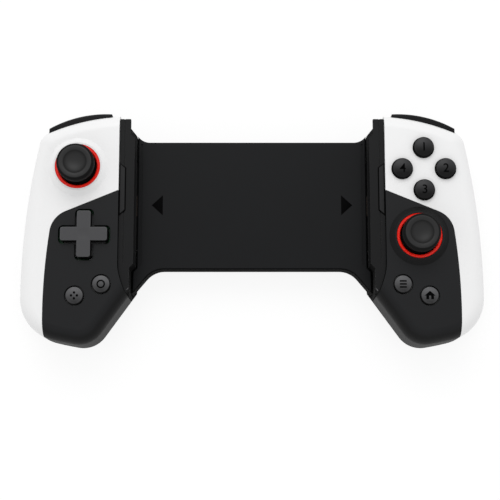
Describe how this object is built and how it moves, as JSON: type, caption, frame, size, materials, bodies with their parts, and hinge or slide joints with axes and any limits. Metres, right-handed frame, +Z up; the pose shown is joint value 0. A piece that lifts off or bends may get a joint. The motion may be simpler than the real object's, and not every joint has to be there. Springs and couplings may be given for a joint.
{
  "type": "telescopic wireless gamepad",
  "caption": "Telescopic wireless gamepad with two spring-linked grips that clamp a phone, each with a thumb stick, buttons, bumper and trigger.",
  "frame": {"origin": "centre of the closed gamepad at the height of the faces it rests on", "axes": "+X to the right-hand grip, +Y away from the player towards the triggers, +Z up out of the control faces"},
  "size_m": [0.2226, 0.1132, 0.044],
  "materials": {
    "white_shell": "satin moulded",
    "black_shell": "fine matt texture",
    "rear_shell": "fine grip texture",
    "jaw_black": "satin",
    "clip_dark": "polished",
    "pad_rubber": "matt ribbed",
    "plate_black": "satin",
    "slider_nylon": "as moulded",
    "stick_rubber": "matt",
    "red_ring": "glossy",
    "acetal": "as moulded",
    "module_case": "as moulded",
    "steel": "bright",
    "board_green": "solder mask",
    "silicone": "translucent grey",
    "button_black": "semi-gloss",
    "small_button": "satin",
    "dpad_grey": "satin",
    "ribbon_amber": "dark polyimide film",
    "cell_foil": "satin foil",
    "usb_metal": "nickel plated"
  },
  "bodies": {
    "bridge": {"bridge_front": "plate_black", "bridge_rear": "plate_black", "bridge_screws": "steel", "return_springs": "steel", "ribbon_cable": "ribbon_amber"},
    "pinion": {"sync_pinion": "slider_nylon"},
    "left_grip": {"rear_cover_left": "rear_shell", "face_white_left": "white_shell", "face_black_left": "black_shell", "jaw_left": "jaw_black", "jaw_pad_left": "pad_rubber", "jaw_clip_left": "clip_dark", "slider_left": "slider_nylon", "stick_housing_left": "module_case", "stick_ring_left": "red_ring", "circuit_board_left": "board_green", "switch_mat_left": "silicone", "cover_screws_left": "steel", "trigger_pin_left": "steel", "trigger_spring_left": "steel", "battery": "cell_foil"},
    "left_yoke": {"stick_yoke_left": "acetal"},
    "left_rocker": {"stick_rocker_left": "acetal"},
    "left_pivot": {"stick_pivot_left": "acetal"},
    "left_stick": {"stick_lever_left": "steel", "stick_cap_left": "stick_rubber"},
    "left_bumper": {"bumper_left": "button_black"},
    "left_trigger": {"trigger_left": "button_black"},
    "right_grip": {"rear_cover_right": "rear_shell", "face_white_right": "white_shell", "face_black_right": "black_shell", "jaw_right": "jaw_black", "jaw_pad_right": "pad_rubber", "jaw_clip_right": "clip_dark", "slider_right": "slider_nylon", "stick_housing_right": "module_case", "stick_ring_right": "red_ring", "circuit_board_right": "board_green", "switch_mat_right": "silicone", "cover_screws_right": "steel", "trigger_pin_right": "steel", "trigger_spring_right": "steel", "usb_socket": "usb_metal"},
    "right_yoke": {"stick_yoke_right": "acetal"},
    "right_rocker": {"stick_rocker_right": "acetal"},
    "right_pivot": {"stick_pivot_right": "acetal"},
    "right_stick": {"stick_lever_right": "steel", "stick_cap_right": "stick_rubber"},
    "right_bumper": {"bumper_right": "button_black"},
    "right_trigger": {"trigger_right": "button_black"},
    "dpad_seat": {"dpad_seat": "silicone"},
    "dpad": {"dpad": "dpad_grey"},
    "ring_button": {"ring_button": "small_button"},
    "dots_button": {"dots_button": "small_button"},
    "menu_button": {"menu_button": "small_button"},
    "home_button": {"home_button": "small_button"},
    "button_1": {"button_1": "button_black"},
    "button_2": {"button_2": "button_black"},
    "button_3": {"button_3": "button_black"},
    "button_4": {"button_4": "button_black"}
  },
  "joints": [
    {"name": "left_slide", "type": "slide", "parent": "bridge", "child": "left_grip", "axis": [-1, 0, 0], "range_m": [0, 0.045], "stiffness_N_per_m": 80, "springref_m": -0.02, "deforming": ["return_springs", "ribbon_cable"]},
    {"name": "right_slide", "type": "slide", "parent": "bridge", "child": "right_grip", "axis": [1, 0, 0], "range_m": [0, 0.045], "stiffness_N_per_m": 80, "springref_m": -0.02, "deforming": ["return_springs", "ribbon_cable"]},
    {"name": "pinion_spin", "type": "hinge", "parent": "bridge", "child": "pinion", "pos_m": [0, 0.01245, 0.012], "axis": [0, 0, 1], "range_deg": [0, 430]},
    {"name": "left_tilt_forward", "type": "hinge", "parent": "left_grip", "child": "left_yoke", "pos_m": [-0.0841, 0.0283, 0.019], "axis": [1, 0, 0], "range_deg": [-15, 15], "stiffness_Nm_per_rad": 0.03},
    {"name": "left_tilt_sideways", "type": "hinge", "parent": "left_yoke", "child": "left_pivot", "pos_m": [-0.0841, 0.0283, 0.019], "axis": [0, 1, 0], "range_deg": [-15, 15], "stiffness_Nm_per_rad": 0.03},
    {"name": "left_stick_click", "type": "slide", "parent": "left_pivot", "child": "left_stick", "axis": [0, 0, -1], "range_m": [0, 0.0005], "stiffness_N_per_m": 1500, "springref_m": -0.0003},
    {"name": "left_rocker_tilt", "type": "hinge", "parent": "left_grip", "child": "left_rocker", "pos_m": [-0.0841, 0.0283, 0.019], "axis": [0, 1, 0], "range_deg": [-15, 15]},
    {"name": "left_bumper_press", "type": "slide", "parent": "left_grip", "child": "left_bumper", "axis": [0, -1, 0], "range_m": [0, 0.0012], "stiffness_N_per_m": 600, "springref_m": -0.0005},
    {"name": "left_trigger_pull", "type": "hinge", "parent": "left_grip", "child": "left_trigger", "pos_m": [-0.08035, 0.0435, 0.0152], "axis": [-1, 0, 0], "range_deg": [0, 15], "stiffness_Nm_per_rad": 0.03, "springref_deg": -17.19},
    {"name": "right_tilt_forward", "type": "hinge", "parent": "right_grip", "child": "right_yoke", "pos_m": [0.0801, -0.0056, 0.019], "axis": [1, 0, 0], "range_deg": [-15, 15], "stiffness_Nm_per_rad": 0.03},
    {"name": "right_tilt_sideways", "type": "hinge", "parent": "right_yoke", "child": "right_pivot", "pos_m": [0.0801, -0.0056, 0.019], "axis": [0, 1, 0], "range_deg": [-15, 15], "stiffness_Nm_per_rad": 0.03},
    {"name": "right_stick_click", "type": "slide", "parent": "right_pivot", "child": "right_stick", "axis": [0, 0, -1], "range_m": [0, 0.0005], "stiffness_N_per_m": 1500, "springref_m": -0.0003},
    {"name": "right_rocker_tilt", "type": "hinge", "parent": "right_grip", "child": "right_rocker", "pos_m": [0.0801, -0.0056, 0.019], "axis": [0, 1, 0], "range_deg": [-15, 15]},
    {"name": "right_bumper_press", "type": "slide", "parent": "right_grip", "child": "right_bumper", "axis": [0, -1, 0], "range_m": [0, 0.0012], "stiffness_N_per_m": 600, "springref_m": -0.0005},
    {"name": "right_trigger_pull", "type": "hinge", "parent": "right_grip", "child": "right_trigger", "pos_m": [0.08035, 0.0435, 0.0152], "axis": [-1, 0, 0], "range_deg": [0, 15], "stiffness_Nm_per_rad": 0.03, "springref_deg": -17.19},
    {"name": "dpad_tilt_forward", "type": "hinge", "parent": "left_grip", "child": "dpad_seat", "pos_m": [-0.0804, -0.0049, 0.0283], "axis": [1, 0, 0], "range_deg": [-4, 4], "stiffness_Nm_per_rad": 0.1},
    {"name": "dpad_tilt_sideways", "type": "hinge", "parent": "dpad_seat", "child": "dpad", "pos_m": [-0.0804, -0.0049, 0.0283], "axis": [0, 1, 0], "range_deg": [-4, 4], "stiffness_Nm_per_rad": 0.1},
    {"name": "ring_button_press", "type": "slide", "parent": "left_grip", "child": "ring_button", "axis": [0, 0, -1], "range_m": [0, 0.0007], "stiffness_N_per_m": 600, "springref_m": -0.0004},
    {"name": "dots_button_press", "type": "slide", "parent": "left_grip", "child": "dots_button", "axis": [0, 0, -1], "range_m": [0, 0.0007], "stiffness_N_per_m": 600, "springref_m": -0.0004},
    {"name": "menu_button_press", "type": "slide", "parent": "right_grip", "child": "menu_button", "axis": [0, 0, -1], "range_m": [0, 0.0007], "stiffness_N_per_m": 600, "springref_m": -0.0004},
    {"name": "home_button_press", "type": "slide", "parent": "right_grip", "child": "home_button", "axis": [0, 0, -1], "range_m": [0, 0.0007], "stiffness_N_per_m": 600, "springref_m": -0.0004},
    {"name": "button_1_press", "type": "slide", "parent": "right_grip", "child": "button_1", "axis": [0, 0, -1], "range_m": [0, 0.0012], "stiffness_N_per_m": 400, "springref_m": -0.0006},
    {"name": "button_2_press", "type": "slide", "parent": "right_grip", "child": "button_2", "axis": [0, 0, -1], "range_m": [0, 0.0012], "stiffness_N_per_m": 400, "springref_m": -0.0006},
    {"name": "button_3_press", "type": "slide", "parent": "right_grip", "child": "button_3", "axis": [0, 0, -1], "range_m": [0, 0.0012], "stiffness_N_per_m": 400, "springref_m": -0.0006},
    {"name": "button_4_press", "type": "slide", "parent": "right_grip", "child": "button_4", "axis": [0, 0, -1], "range_m": [0, 0.0012], "stiffness_N_per_m": 400, "springref_m": -0.0006}
  ],
  "couplings": [
    {"joint": "right_slide", "follows": "left_slide", "ratio": 1},
    {"joint": "pinion_spin", "follows": "left_slide", "rad_per_m": 166.67},
    {"joint": "left_rocker_tilt", "follows": "left_tilt_sideways", "ratio": 1},
    {"joint": "right_rocker_tilt", "follows": "right_tilt_sideways", "ratio": 1}
  ]
}
